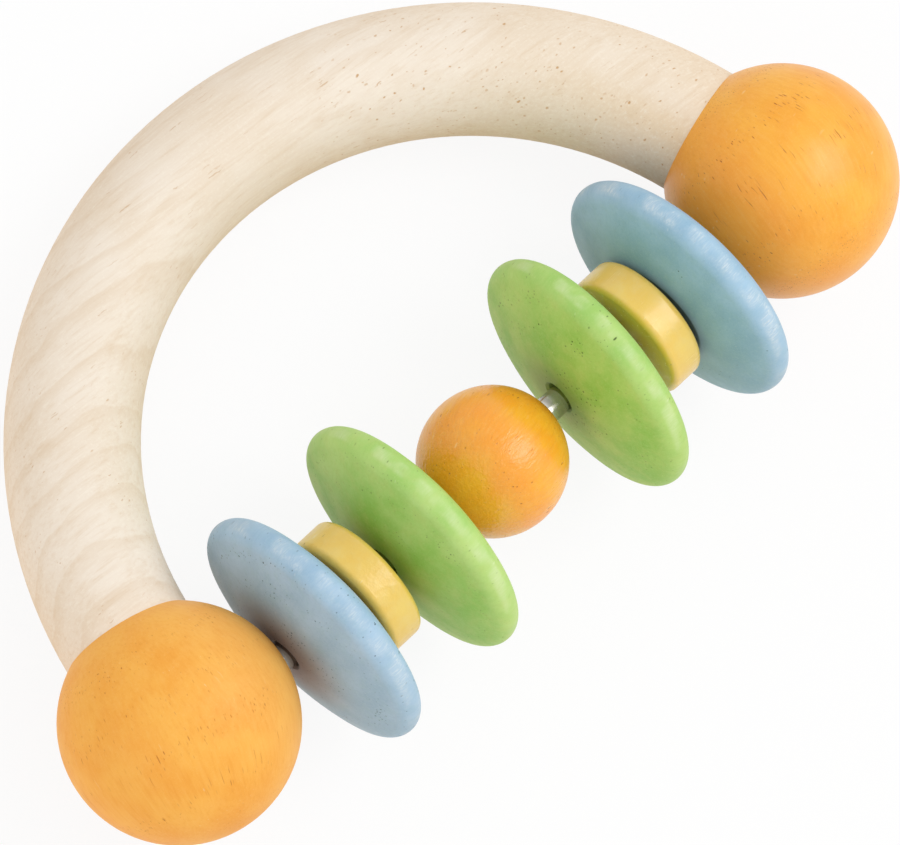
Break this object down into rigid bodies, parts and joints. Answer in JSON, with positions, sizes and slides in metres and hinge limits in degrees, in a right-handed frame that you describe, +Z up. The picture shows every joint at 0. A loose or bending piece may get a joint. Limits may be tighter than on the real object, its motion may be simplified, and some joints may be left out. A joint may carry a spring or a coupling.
{
  "type": "teether rattle",
  "caption": "Wooden teether rattle: a half-ring grip arch with ball ends, and a steel rod across it whose turned discs, washers and round bead slide and spin when it is shaken.",
  "frame": {"origin": "middle of the rattle's outline seen from above, on the table that it lies on", "axes": "+X along the rod towards the right end ball, +Y from the rod towards the arch, +Z up from the table"},
  "size_m": [0.1136, 0.0656, 0.029],
  "materials": {
    "bare_wood": "bare, sanded",
    "orange_wood": "stained, satin",
    "deep_orange_wood": "stained, satin",
    "yellow_wood": "stained, satin",
    "green_wood": "stained, satin",
    "blue_wood": "stained, satin",
    "steel": "polished"
  },
  "bodies": {
    "grip_frame": {"arch": "bare_wood", "left_end_ball": "orange_wood", "right_end_ball": "orange_wood", "rod": "steel"},
    "left_washer": {"left_yellow_washer": "yellow_wood"},
    "left_blue": {"left_blue_disc": "blue_wood"},
    "middle_bead": {"centre_bead": "deep_orange_wood"},
    "left_green": {"left_green_disc": "green_wood"},
    "right_washer": {"right_yellow_washer": "yellow_wood"},
    "right_green": {"right_green_disc": "green_wood"},
    "right_blue": {"right_blue_disc": "blue_wood"}
  },
  "joints": [
    {"name": "left_washer_slide", "type": "slide", "parent": "grip_frame", "child": "left_washer", "axis": [1, 0, 0], "range_m": [-0.00035, 0.00175]},
    {"name": "left_blue_spin", "type": "hinge", "parent": "left_washer", "child": "left_blue", "pos_m": [-0.0272, -0.0183, 0.0145], "axis": [0.9998, 0.0172, -0.0029], "continuous": true},
    {"name": "centre_bead_slide", "type": "slide", "parent": "grip_frame", "child": "middle_bead", "axis": [1, 0, 0], "range_m": [-0.00175, 0.00225]},
    {"name": "left_green_spin", "type": "hinge", "parent": "middle_bead", "child": "left_green", "pos_m": [-0.01278, -0.0183, 0.0145], "axis": [1, 0.0086, -0.0014], "continuous": true},
    {"name": "right_washer_slide", "type": "slide", "parent": "grip_frame", "child": "right_washer", "axis": [1, 0, 0], "range_m": [-0.00225, 0.00003]},
    {"name": "right_green_spin", "type": "hinge", "parent": "right_washer", "child": "right_green", "pos_m": [0.0135, -0.0183, 0.0145], "axis": [0.9987, -0.0499, 0.0084], "continuous": true},
    {"name": "right_blue_spin", "type": "hinge", "parent": "right_washer", "child": "right_blue", "pos_m": [0.02746, -0.0183, 0.0145], "axis": [0.9988, 0.0482, -0.0081], "continuous": true}
  ]
}
